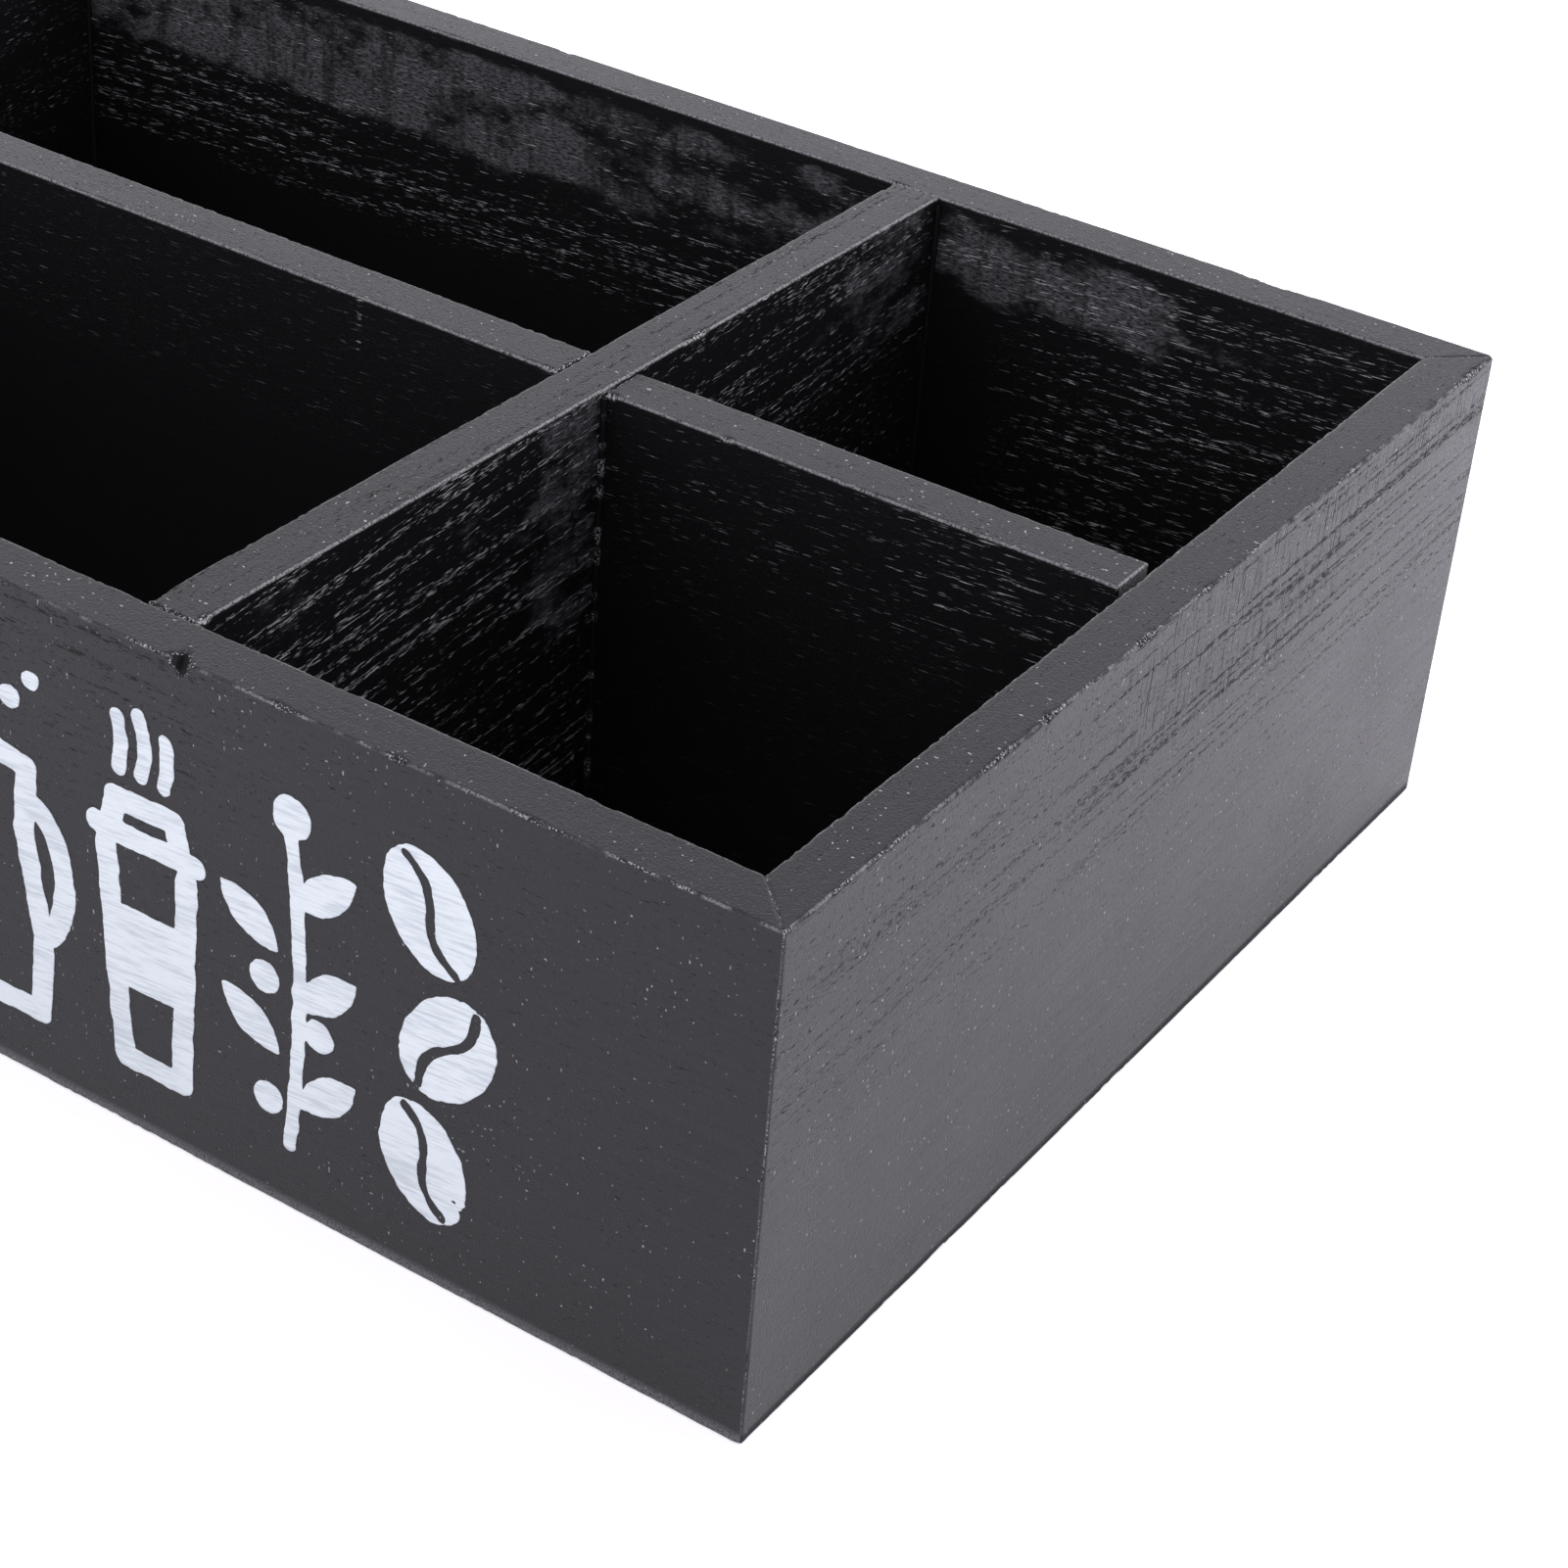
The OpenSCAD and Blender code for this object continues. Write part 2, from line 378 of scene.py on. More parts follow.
def drawnSteel(name):
    look = bradWire
    finish = Finish(name)
    smear = finish.noise(finish.place(look["smearSize"]), 3.0, 0.65).between(*look["smearRange"])
    drawn = finish.noise(finish.place(look["drawnSize"]), 2.0)
    colour = finish.mix(smear, look["steel"], look["paint"])
    relief = finish.bump(drawn, look["relief"])
    roughness = drawn * 0.2 + look["roughness"]
    return finish.done({"Base Color": colour, "Metallic": 1 - smear, "Roughness": roughness,
                        "Normal": relief})


faceFinish = [paintedFace("blackPaintAlongX", 0), paintedFace("blackPaintAlongY", 1)]
insideFinish = [paintedInside("insidePaintAlongX", 0), paintedInside("insidePaintAlongY", 1)]
whiteFilm = brushedWhite("whitePaintFilm")
plyFinish = paintedPly("blackPaintPly")
steelFinish = drawnSteel("bradSteel")
print("finishes made")


# Boards: a cross section carried along each board, with worn and chipped arrises

boardShape = {
    "arris": 0.5,  # radius of a long arris, millimetres
    "corner": 0.8,  # radius of an upright outer corner
    "step": 0.55,  # distance between two cross sections
    "arcSteps": 4,
    "rows": [0.3, 0.7, 1.3, 2.3, 4.0],  # lines of points beside each arris
    "widest": 3.5,  # between two lines of points on the faces
    "arcDepth": 0.414,  # how deep the middle of an arris's arc lies, as a share of its radius
    # depth that random wear takes off an arris
    "wear": 0.15,
    "paleDepth": 0.45,  # a shallower chip shows pale filler only
    "nick": 0.45,  # depth of the nicks in an upright corner
    "dip": 0.22,  # how far the top sinks at a divider's joints
    "film": 0.12,  # the front board's face lies this far in, under the white paint
}


def gradedRun(length):  # distances along a face, close together near both of its arrises
    near = [d for d in boardShape["rows"] if d < length * 0.48]
    start, end = (near[-1], length - near[-1]) if near else (0, length)
    count = max(1, math.ceil((end - start) / boardShape["widest"]))
    middle = [start + (end - start) * i / count for i in range(1, count)]
    return near + middle + [length - d for d in reversed(near)]


def sectionLoop(corners):  # corners are (inset, height, radius), clockwise from the outer foot
    total = len(corners)
    arcs = []
    for k, (u, z, radius) in enumerate(corners):
        here = np.array([u, z], float)
        into = here - np.array(corners[k - 1][:2])
        out = np.array(corners[(k + 1) % total][:2]) - here
        into, out = into / np.linalg.norm(into), out / np.linalg.norm(out)
        if radius:
            centre = here - into * radius + out * radius
            turns = np.linspace(0, math.pi / 2, boardShape["arcSteps"] + 1)
            arcs.append([centre + radius * (into * math.sin(t) - out * math.cos(t)) for t in turns])
        else:
            arcs.append([here])
    points, faces = [], []
    for k, arc in enumerate(arcs):
        for j, point in enumerate(arc):
            points.append(point)
            faces.append((k - 1) % total if j < (len(arc) - 1) / 2 else k)
        start, end = arc[-1], arcs[(k + 1) % total][0]
        length = np.linalg.norm(end - start)
        for d in gradedRun(length):
            points.append(start + (end - start) * d / length)
            faces.append(k)
    return np.array(points), np.array(faces)


def arrisCut(board, along, corner):  # depth that wear and chips take off an arris, and how torn it is
    seed = board["seed"] * 10 + corner
    rough = lineNoise(along, 1.1, seed) * lineNoise(along, 9, seed + 100)
    cut = boardShape["arris"] * boardShape["arcDepth"]
    cut = cut + boardShape["wear"] * board.get("wear", 1) * 2 * rough
    torn = np.zeros_like(along)
    for where, place, half, depth in board["chips"]:
        if where == corner:
            across = np.clip(1 - np.abs((along - place) / half) ** 3, 0, 1)
            cut = cut + depth * across * (0.35 + 0.9 * lineNoise(along, 0.8, seed + 200))
            tear = depth * 2.5 if depth < boardShape["paleDepth"] else 0.9 + depth * 0.5
            torn = np.maximum(torn, across * min(1.7, tear))
    return cut, torn


def boardPoints(board):
    points, faces = sectionLoop(board["corners"])
    half = board["length"] / 2
    count = math.ceil(board["length"] / boardShape["step"])
    ends = boardShape["corner"] * np.array([0.15, 0.3, 0.5, 0.75, 1.0, 1.3])
    stations = np.linspace(-half, half, count + 1)
    stations = np.unique(np.concatenate([stations, ends - half, half - ends]))
    u = np.repeat(points[None, :, 0], len(stations), 0)
    z = np.repeat(points[None, :, 1], len(stations), 0)
    wear, torn = np.zeros_like(u), np.zeros_like(u)
    for k, (cu, cz, radius) in enumerate(board["corners"]):
        if not radius:
            continue
        du, dz = (1 if cu < board["thick"] / 2 else -1), (1 if cz == 0 else -1)
        deep = ((u - cu) * du + (z - cz) * dz) / math.sqrt(2)
        cut, ragged = arrisCut(board, stations, k)
        take = np.maximum(0, cut[:, None] - deep)
        u = u + take * du / math.sqrt(2)
        z = z + take * dz / math.sqrt(2)
        near = np.exp(-(np.maximum(0, deep - radius * 0.45) / 0.08) ** 2)
        broken = board["broken"].get(k, 0)
        faint = smooth(lineNoise(stations, 2.5, board["seed"] + k + 40), 0.25, 0.75)[:, None]
        # a thin painted highlight beside each arris, broken where the arris is torn
        wear = np.maximum(wear, near * (1 - broken * (1 - 0.75 * faint)))
        patchy = smooth(lineNoise(stations, 4, board["seed"] + k), 0.45, 0.85)[:, None]
        torn = np.maximum(torn, near * broken * patchy)
        torn = np.maximum(torn, ragged[:, None] * smooth(take, 0.05, 0.25))
    return stations, u, z, wear, torn, faces


def mitreEnds(board, a, u, z, wear, torn):
    half, thick, radius = board["length"] / 2, board["thick"], boardShape["corner"]
    turn = np.clip((np.abs(a) - (half - radius)) / radius, 0, 1)
    angle = turn * math.pi / 4
    reach = np.where(turn > 0, half - radius + radius * np.sin(angle), np.abs(a))
    inset = np.where(turn > 0, radius * (1 - np.cos(angle)), 0)
    leftSeed, rightSeed = board["cornerSeeds"]
    sides = [lineNoise(z, 1.5, seed) * lineNoise(z, 9, seed + 50) for seed in (leftSeed, rightSeed)]
    nick = np.where(a > 0, sides[1], sides[0]) * boardShape["nick"] * turn ** 2
    u = inset + nick + u * (thick - inset - nick) / thick
    x = np.sign(a) * (reach - (u - inset) * np.abs(a) / half)
    seam = smooth(np.abs(a), half - 0.8, half) * smooth(z, board["height"] - 1.5, board["height"])
    z = z - seam * (0.04 + 0.12 * lineNoise(u, 0.9, rightSeed))
    # the upright outer corner and the mitre seam: a faint painted highlight, and torn bits holding pale
    # filler and painted shade
    outer = np.exp(-(np.maximum(0, u - inset - nick) / 0.3) ** 2) * smooth(turn, 0.6, 1)
    wear = np.maximum(wear, outer * 0.3)
    torn = np.maximum(torn, outer * smooth(lineNoise(z, 5, rightSeed + 9), 0.35, 0.7) * 0.95)
    torn = np.maximum(torn, seam * smooth(lineNoise(u, 1.3, rightSeed), 0.35, 0.8) * 0.5)
    return x, u, z, wear, torn


def squareEnds(board, a, u, z, wear, torn):
    half, top = board["length"] / 2, board["height"]
    seam = smooth(np.abs(a), half - 0.9, half - 0.2) * smooth(z, top - 1.2, top - 0.3)
    # torn seam where a divider meets a wall: pale bits and painted shade
    torn = np.maximum(torn, seam * board["seams"])
    z = z - smooth(np.abs(a), half - 0.5, half) * smooth(z, top - 1.5, top) * boardShape["dip"]
    free = board.get("freeEnd")
    if not free:
        return np.repeat(a, u.shape[1], 1), u, z, wear, torn
    turn = np.clip((a - (half - free)) / free, 0, 1)
    angle = turn * math.pi / 2
    x = np.where(turn > 0, half - free + free * np.sin(angle), a)
    inset = np.where(turn > 0, free * (1 - np.cos(angle)), 0)
    torn = np.where(a > 0, 0, torn)
    # painted highlight round the top of the free end
    wear = np.maximum(wear, np.where(turn > 0, smooth(z, top - 1.2, top - 0.3), 0))
    u, z = np.clip(u, inset, board["thick"] - inset), np.minimum(z, top - inset)
    return x * np.ones_like(u), u, z, wear, torn


def paintValues(mesh, name, values):
    layer = mesh.attributes.new(name, "FLOAT", "POINT")
    layer.data.foreach_set("value", np.ascontiguousarray(values, np.float32).reshape(-1))


def meshPoints(mesh):  # in millimetres
    points = np.zeros(len(mesh.vertices) * 3)
    mesh.vertices.foreach_get("co", points)
    return points.reshape(-1, 3) / mm


def meshFrom(name, points, loops, starts):
    mesh = bpy.data.meshes.new(name)
    mesh.vertices.add(len(points))
    mesh.vertices.foreach_set("co", (np.asarray(points) * mm).reshape(-1))
    mesh.loops.add(len(loops))
    mesh.loops.foreach_set("vertex_index", loops)
    mesh.polygons.add(len(starts))
    mesh.polygons.foreach_set("loop_start", starts)
    mesh.update(calc_edges=True)
    return mesh


def addPiece(name, mesh, slotName, *nodes):
    made = bpy.data.objects.new(name, mesh)
    bpy.context.scene.collection.objects.link(made)
    if nodes:
        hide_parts(*nodes)
    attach(made, "root")
    return made


def boardMesh(name, board):
    stations, u, z, wear, torn, faces = boardPoints(board)
    shapeEnds = mitreEnds if board["mitred"] else squareEnds
    x, u, z, wear, torn = shapeEnds(board, stations[:, None], u, z, wear, torn)
    u = np.maximum(u, board.get("film", 0))
    rows, cols = x.shape
    origin, along, inward = (np.array(board[key], float) for key in ("origin", "along", "inward"))
    up = np.array([0, 0, 1.0])
    points = origin + x[..., None] * along + u[..., None] * inward + z[..., None] * up
    index = np.arange(rows * cols).reshape(rows, cols)
    after = np.roll(index, -1, 1)
    quads = np.stack([index[:-1], index[1:], after[1:], after[:-1]], -1).reshape(-1, 4)
    ends = [index[0], index[-1][::-1]]
    if np.dot(np.cross(along, inward), up) < 0:  # faces point outwards
        quads = quads[:, ::-1]
        ends = [end[::-1] for end in ends]
    loops = np.concatenate([quads.reshape(-1), *ends])
    starts = np.concatenate([np.arange(len(quads)) * 4, [len(quads) * 4, len(quads) * 4 + cols]])
    mesh = meshFrom(name, points.reshape(-1, 3), loops, starts)
    # bottom band of the outer face: painted shadow on the right board, painted highlight on the front board
    lowest = (faces[None, :] == 0) * (1 - smooth(z, 1.2, 2.8))
    paintValues(mesh, "foot", lowest * board.get("foot", 0))
    paintValues(mesh, "wear", np.maximum(wear, lowest * board.get("footWear", 0)))
    paintValues(mesh, "torn", torn)
    faceOf = np.repeat(faces[None, :], rows, 0)
    for word in ("pores", "film", "glint"):
        values = np.zeros(x.shape)
        for face, amount in board.get(word + "On", {}).items():
            level = amount(x, z) if callable(amount) else amount
            values = np.where(faceOf == face, level, values)
        paintValues(mesh, word, values)
    grain = 0 if abs(along[0]) > 0.5 else 1
    mesh.materials.append(faceFinish[grain])
    mesh.materials.append(insideFinish[grain])
    inside = np.isin(faces, board["inside"]).astype(int)
    mesh.polygons.foreach_set("material_index", np.concatenate([np.tile(inside, rows - 1), [0, 0]]))
    mesh.shade_smooth()
    mesh.set_sharp_from_angle(angle=math.radians(50))
    return addPiece(name, mesh, "black_painted_wood", board["node"])


def nodeBox(node):  # corners of a node in millimetres
    low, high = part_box(node)
    return np.array(low) / mm, np.array(high) / mm


allLow, allHigh = np.array(cadBox[0]) / mm, np.array(cadBox[1]) / mm
panelHigh = nodeBox("bottom_panel")[1]
frontLow, frontHigh = nodeBox("front_board")
crossLow, crossHigh = nodeBox("cross_divider")
longLow, longHigh = nodeBox("long_divider")
shortLow, shortHigh = nodeBox("short_divider")
boxLong, boxDeep = (allHigh - allLow)[:2]
wallThick = frontHigh[1] - frontLow[1]
dividerThick = crossHigh[0] - crossLow[0]
rim = allHigh[2]
panelThick = panelHigh[2]
panelGap = 0.2
lipWide = allHigh[0] - panelHigh[0] - panelGap  # the rabbet leaves this much wood under each wall


def wallCorners():
    r = boardShape["arris"]
    return [(0, 0, r), (0, rim, r), (wallThick, rim, r), (wallThick, panelThick, 0),
            (lipWide, panelThick, 0), (lipWide, 0, 0)]


def dividerCorners(height):
    r = boardShape["arris"]
    return [(0, 0, 0), (0, height, r), (dividerThick, height, r), (dividerThick, 0, 0)]


def backFilm(x, z):
    leftCell = band(z, 73, 98.5, 2.5) * (0.75 + 0.25 * smooth(-x, -20, 60)) * (x < 58)
    rightCell = band(z, 82, 98, 5) * (1 - 0.6 * smooth(x, 100, 140)) * (x > 60)
    return leftCell + rightCell * 1.3


def backGlint(x, z):
    leftCell = (0.75 * band(z, 51, 74, 3) + 0.35 * band(z, 74, 98, 3)) * (x < 58)
    rightCell = (0.7 * band(z, 34, 86, 6) * smooth(x, 70, 110) + 0.8 * band(z, 86, 99, 2)) * (x > 60)
    return leftCell + rightCell


def crossFilm(y, z):
    frontCell = 0.35 * smooth(z, 38, 55) + 0.45 * band(y, -24, -3, 5) * smooth(z, 30, 60)
    backCell = 0.25 * smooth(z, 60, 80) + 0.6 * band(y, 78, 113, 8) * band(z, 66, 96, 4)
    return np.where(y < 2, frontCell, backCell)


def crossGlint(y, z):
    frontCell = 0.35 * smooth(z, 44, 56) + 0.75 + 0.2 * smooth(-y, 20, 80) + 0.4 * (1 - smooth(z, 26, 50))
    backCell = 0.45 * smooth(z, 58, 68) + 0.45
    return np.where(y < 2, frontCell, backCell)


def rightPores(y, z):
    worn = band(y, -24, 66, 18) * band(z, 73, 101, 7) + 0.8 * band(y, 66, 140, 14) * band(z, 88, 101, 4)
    return 0.15 + 0.2 * smooth(y, -60, 20) + 0.65 * smooth(z, 48, 66) + 0.6 * worn


plainFilm = {2: lambda x, z: 0.5 * smooth(z, 60, 80)}
plainGlint = {2: lambda x, z: 0.6 * smooth(z, 50, 65)}


def longGlint(x, z):  # sparse painted glints, and one upright line of them along a scratch
    return 0.13 * smooth(z, 58, 68) + 1.2 * band(x, 66.4, 67.6, 0.4) * band(z, 84, 99, 2)


def shortGlint(x, z):
    return 0.1 + 0.12 * smooth(z, 60, 75) + 0.35 * smooth(z, 72, 80) * smooth(x, 5, 30)


# chips are (corner of the section, place along the board, half length, depth), in millimetres
walls = {
    "frontBoard": {
        "node": "front_board", "length": boxLong, "seed": 1, "cornerSeeds": (11, 12),
        "origin": (0, allLow[1], 0), "along": (1, 0, 0), "inward": (0, 1, 0), "film": boardShape["film"],
        # painted highlight along the bottom of the outer face
        "footWear": 0.5,
        "chips": [(1, 69.6, 2.6, 1.5), (1, 92, 4.5, 0.3), (1, 114, 2.4, 0.55), (1, 139, 4, 0.3),
                  (1, 30, 5, 0.25), (2, 58, 6, 0.2)],
        "poresOn": {0: lambda x, z: 0.1 + 0.85 * smooth(z, 64, 90) * smooth(-x, -100, -60), 1: 0.25},
        "filmOn": plainFilm, "glintOn": plainGlint,
    },
    "backBoard": {
        "node": "back_board", "length": boxLong, "seed": 2, "cornerSeeds": (14, 13),
        "origin": (0, allHigh[1], 0), "along": (1, 0, 0), "inward": (0, -1, 0),
        "chips": [(1, 138, 9, 0.5), (1, -40, 2, 0.4), (2, 58, 2.2, 0.35)],
        "poresOn": {0: 0.7, 1: 0.25},
        "filmOn": {2: backFilm}, "glintOn": {2: backGlint},
    },
    "leftEndBoard": {
        "node": "left_end_board", "length": boxDeep, "seed": 3, "cornerSeeds": (11, 14),
        "origin": (allLow[0], 0, 0), "along": (0, 1, 0), "inward": (1, 0, 0),
        "chips": [(1, -50, 3, 0.5), (1, 66, 5, 0.35)],
        "poresOn": {0: 0.7, 1: 0.25},
        "filmOn": {2: 0.15}, "glintOn": {2: lambda y, z: 0.6 * smooth(z, 40, 60)},
    },
    "rightEndBoard": {
        "node": "right_end_board", "length": boxDeep, "seed": 4, "cornerSeeds": (12, 13),
        # foot paints a shadow along the bottom of the outer face
        "wear": 1.3, "foot": 1.0,
        "origin": (allHigh[0], 0, 0), "along": (0, 1, 0), "inward": (-1, 0, 0),
        "chips": [(1, -62, 6, 0.3), (1, -48, 2.5, 0.4), (1, -16, 4, 0.45), (1, 6, 2, 0.35), (1, 62, 3, 0.3),
                  (1, 115, 5, 0.5)],
        "poresOn": {0: rightPores, 1: 0.35},
        "filmOn": plainFilm, "glintOn": plainGlint,
    },
}
dividers = {
    "crossDivider": {
        "node": "cross_divider", "seed": 5,
        "origin": (crossHigh[0], 0, crossLow[2]), "along": (0, 1, 0), "inward": (-1, 0, 0),
        "chips": [(1, -111.5, 2, 0.4), (2, -111, 3, 0.4), (2, 111, 2, 0.5), (2, 1, 5, 0.25),
                  (1, 26, 5, 0.4)],
        "poresOn": {1: 0.9},
        "filmOn": {0: crossFilm, 2: lambda y, z: crossFilm(y, z) * 0.7},
        "glintOn": {0: crossGlint, 2: lambda y, z: crossGlint(y, z) * 0.7},
    },
    "longDivider": {
        "node": "long_divider", "seed": 6,
        "origin": ((longLow[0] + longHigh[0]) / 2, longLow[1], longLow[2]), "along": (1, 0, 0),
        "inward": (0, 1, 0),
        "chips": [(1, 112, 2, 0.3)],
        "poresOn": {1: 0.4},
        "filmOn": {2: 0.3},
        "glintOn": {0: longGlint, 2: lambda x, z: 0.5 * smooth(z, 50, 60)},
    },
    "shortDivider": {
        "node": "short_divider", "seed": 7, "freeEnd": 0.5,
        "origin": ((shortLow[0] + shortHigh[0]) / 2, shortLow[1], shortLow[2]), "along": (1, 0, 0),
        "inward": (0, 1, 0),
        "chips": [(1, -53, 2.0, 0.5), (1, -27, 1.6, 0.4)],
        "poresOn": {1: 0.5},
        "filmOn": {2: 0.3},
        "glintOn": {0: shortGlint, 2: 0.4},
    },
}
for boardName, board in walls.items():
    board.update(thick=wallThick, height=rim, corners=wallCorners(), mitred=True, inside=[2])
    board["broken"] = {0: 0.4, 1: 0.9, 2: 0.0}
    boardMesh(boardName, board)
for boardName, board in dividers.items():
    low, high = nodeBox(board["node"])
    height = high[2] - low[2]
    board.update(length=max((high - low)[:2]), thick=dividerThick, height=height)
    board.update(corners=dividerCorners(height), mitred=False, inside=[0, 2, 3], broken={}, seams=0.9)
    boardMesh(boardName, board)
print("boards made:", len(walls) + len(dividers))


# White drawings on the front board: nine brushed kitchen pictures in a row

drawing = {
    "stroke": 4.7,  # width of a brush stroke
    "fine": 2.9,
    "foot": 13.0,  # height of the drawings' foot line
    "spacing": 30.6,
    "grid": 0.42,
    "reach": 139.0,  # of the grid, to either side
    "low": 8,
    "high": 92,
    "thick": 0.14,
    "seed": 31,
    "nick": (126.5, 19.5, 1.8),  # a torn place in the last drawing: along, up and its size
}


def arc(cx, cz, rx, rz, start, end, steps=22):
    turns = np.radians(np.linspace(start, end, steps))
    return [(cx + rx * math.cos(t), cz + rz * math.sin(t)) for t in turns]


def wisps(bend, *places):  # steam: (middle, foot, head) of each wisp
    lines = []
    for x, low, high in places:
        heights = np.linspace(low, high, 18)
        lines.append([(x + 0.9 * math.sin((h - low) * bend), h) for h in heights])
    return lines


def paperCup():
    cup = [(-9, 46), (-6.5, 2), (6.5, 2), (9, 46)]
    lid = [(-8, 49), (-6.5, 56), (6.5, 56), (8, 49)]
    return {"strokes": [cup, [(-11, 49), (11, 49)], lid],
            "fine": wisps(0.29, (-5.5, 62, 72), (-0.5, 62, 74), (4.5, 62, 71)),
            "fills": [("block", 0, 26, 7.4, 8.5)]}


def berrySprig():
    stem = [(2.5 * math.sin(h / 24), h) for h in np.linspace(1, 64, 18)]
    leaves = [("leaf", side * 8.2, h, 8.0, 3.7, side * 38) for h, side in
              ((15, 1), (24, -1), (36, 1), (45, -1), (56, 1))]
    berries = [("disc", *berry) for berry in
               ((-4.5, 9, 3.3), (6.5, 27, 3.2), (-5.0, 34, 3.2), (1, 68, 4.0))]
    return {"fine": [stem], "fills": leaves + berries}


def beanPile():
    fills, cuts = [], []
    for cx, cz, tilt in ((-1.5, 62, 28), (2.5, 37, -32), (-2.0, 12, 22)):
        fills.append(("oval", cx, cz, 8.6, 12.0, tilt))
        cuts.append(("crease", cx, cz, 10.8, tilt))
    return {"fills": fills, "cuts": cuts}


def stovePot():
    return {"strokes": [[(-9.5, 2), (9.5, 2), (6.5, 32), (-6.5, 32), (-9.5, 2)],
                        [(-6.5, 37), (-9.5, 60), (-12, 63)], [(-9.5, 60), (8.5, 60), (6.5, 37), (-6.5, 37)],
                        [(-7.5, 62), (0, 67), (7.5, 62)], arc(7.5, 47, 5.0, 10, 80, -70)],
            "fills": [("disc", 0, 70.5, 3.4)]}


def steamingMug():
    return {"strokes": [[(-12, 38), (-11, 6), (-7, 2), (2, 2), (5.5, 6), (6.5, 38), (-12, 38)],
                        arc(6, 22, 6.0, 9, 80, -80)],
            "fine": wisps(0.62, (-8, 46, 68), (-2.5, 46, 73), (3, 46, 66))}


def longSpoon():
    return {"strokes": [[(0, 46), (0.5, 20), (0, 3)]], "fills": [("oval", 0, 60, 8.2, 13.0, 0)],
            "cuts": [("ring", 0, 61, 4.4, 8.6)]}


def milkJug():
    body = [(-8, 50), (-6.5, 40), (-10, 18), (-8.5, 2), (4.5, 2), (6, 18), (2.5, 40), (4, 53), (-12, 56),
            (-8, 50)]
    return {"strokes": [body, arc(4, 32, 7.5, 14, 78, -70)],
            "fills": [("disc", -7, 68, 3.0), ("disc", 1, 66, 2.4), ("disc", 6, 71, 2.0)]}


row = [beanPile, berrySprig, longSpoon, stovePot, steamingMug, milkJug, paperCup, berrySprig, beanPile]


farAway = 1000.0


def segmentDistance(x, z, points):
    nearest = np.full(x.shape, farAway)
    for (x0, z0), (x1, z1) in zip(points, points[1:]):
        run = (x1 - x0) ** 2 + (z1 - z0) ** 2
        t = np.clip(((x - x0) * (x1 - x0) + (z - z0) * (z1 - z0)) / run, 0, 1)
        nearest = np.minimum(nearest, np.hypot(x - x0 - t * (x1 - x0), z - z0 - t * (z1 - z0)))
    return nearest


def ovalDistance(x, z, rx, rz):
    return (np.hypot(x / rx, z / rz) - 1) * min(rx, rz)


def formDistance(x, z, form):
    kind, cx, cz, *sizes = form
    x, z = x - cx, z - cz
    if kind in ("oval", "leaf", "crease"):
        tilt = math.radians(sizes[-1])
        x, z = x * math.cos(tilt) + z * math.sin(tilt), z * math.cos(tilt) - x * math.sin(tilt)
    if kind == "disc":
        return np.hypot(x, z) - sizes[0]
    if kind in ("oval", "ring"):
        return ovalDistance(x, z, sizes[0], sizes[1])
    if kind == "leaf":
        return np.abs(z) + (x / sizes[0]) ** 2 * sizes[1] - sizes[1]
    if kind == "crease":
        line = [(1.7 * math.sin(h / sizes[0] * math.pi), h) for h in np.linspace(-sizes[0], sizes[0], 20)]
        return segmentDistance(x, z, line) - 0.9
    return np.maximum(np.abs(x) - sizes[0], np.abs(z) - sizes[1])


def drawnField(x, z):  # below zero where there is paint
    field = np.full(x.shape, farAway)
    shake = patchNoise(x, z, 2.6, drawing["seed"]) - 0.5
    grit = patchNoise(x, z, 0.8, drawing["seed"] + 1) - 0.5
    for place, picture in enumerate(row):
        middle = (place - (len(row) - 1) / 2) * drawing["spacing"]
        near = np.abs(x[0] - middle) < drawing["spacing"] / 2
        px, pz = x[:, near] - middle, z[:, near] - drawing["foot"]
        made = picture()
        part = np.full(px.shape, farAway)
        for kind, width in (("strokes", drawing["stroke"]), ("fine", drawing["fine"])):
            for points in made.get(kind, []):
                part = np.minimum(part, segmentDistance(px, pz, points) - width / 2)
        for form in made.get("fills", []):
            part = np.minimum(part, formDistance(px, pz, form))
        for form in made.get("cuts", []):
            part = np.maximum(part, -formDistance(px, pz, form))
        field[:, near] = part
    nickX, nickZ, nickWide = drawing["nick"]
    torn = np.exp(-(np.hypot(x - nickX, z - nickZ) / nickWide) ** 2) * (1 + 5 * grit)
    return field + shake * 0.5 + grit * 0.22 + torn


def fieldOutlines(xs, zs, field):  # the painted part of each grid cell, sharing points with its neighbours
    inside = field < 0
    points, keys, outlines = [], {}, []

    def corner(i, j):
        key = ("at", i, j)
        if key not in keys:
            keys[key] = len(points)
            points.append((xs[i], zs[j]))
        return keys[key]

    def crossing(i, j, k, m):
        key = (min((i, j), (k, m)), max((i, j), (k, m)))
        if key not in keys:
            first, second = field[j, i], field[m, k]
            t = np.clip(first / (first - second), 0.08, 0.92)
            keys[key] = len(points)
            points.append((xs[i] + (xs[k] - xs[i]) * t, zs[j] + (zs[m] - zs[j]) * t))
        return keys[key]

    cells = inside[:-1, :-1].astype(int) + inside[:-1, 1:] + inside[1:, :-1] + inside[1:, 1:]
    for j, i in np.argwhere(cells > 0):
        ring = [(i, j), (i + 1, j), (i + 1, j + 1), (i, j + 1)]
        outline = []
        for k, here in enumerate(ring):
            there = ring[(k + 1) % 4]
            if inside[here[1], here[0]]:
                outline.append(corner(*here))
            if inside[here[1], here[0]] != inside[there[1], there[0]]:
                outline.append(crossing(*here, *there))
        outlines.append(outline)
    return np.array(points), outlines


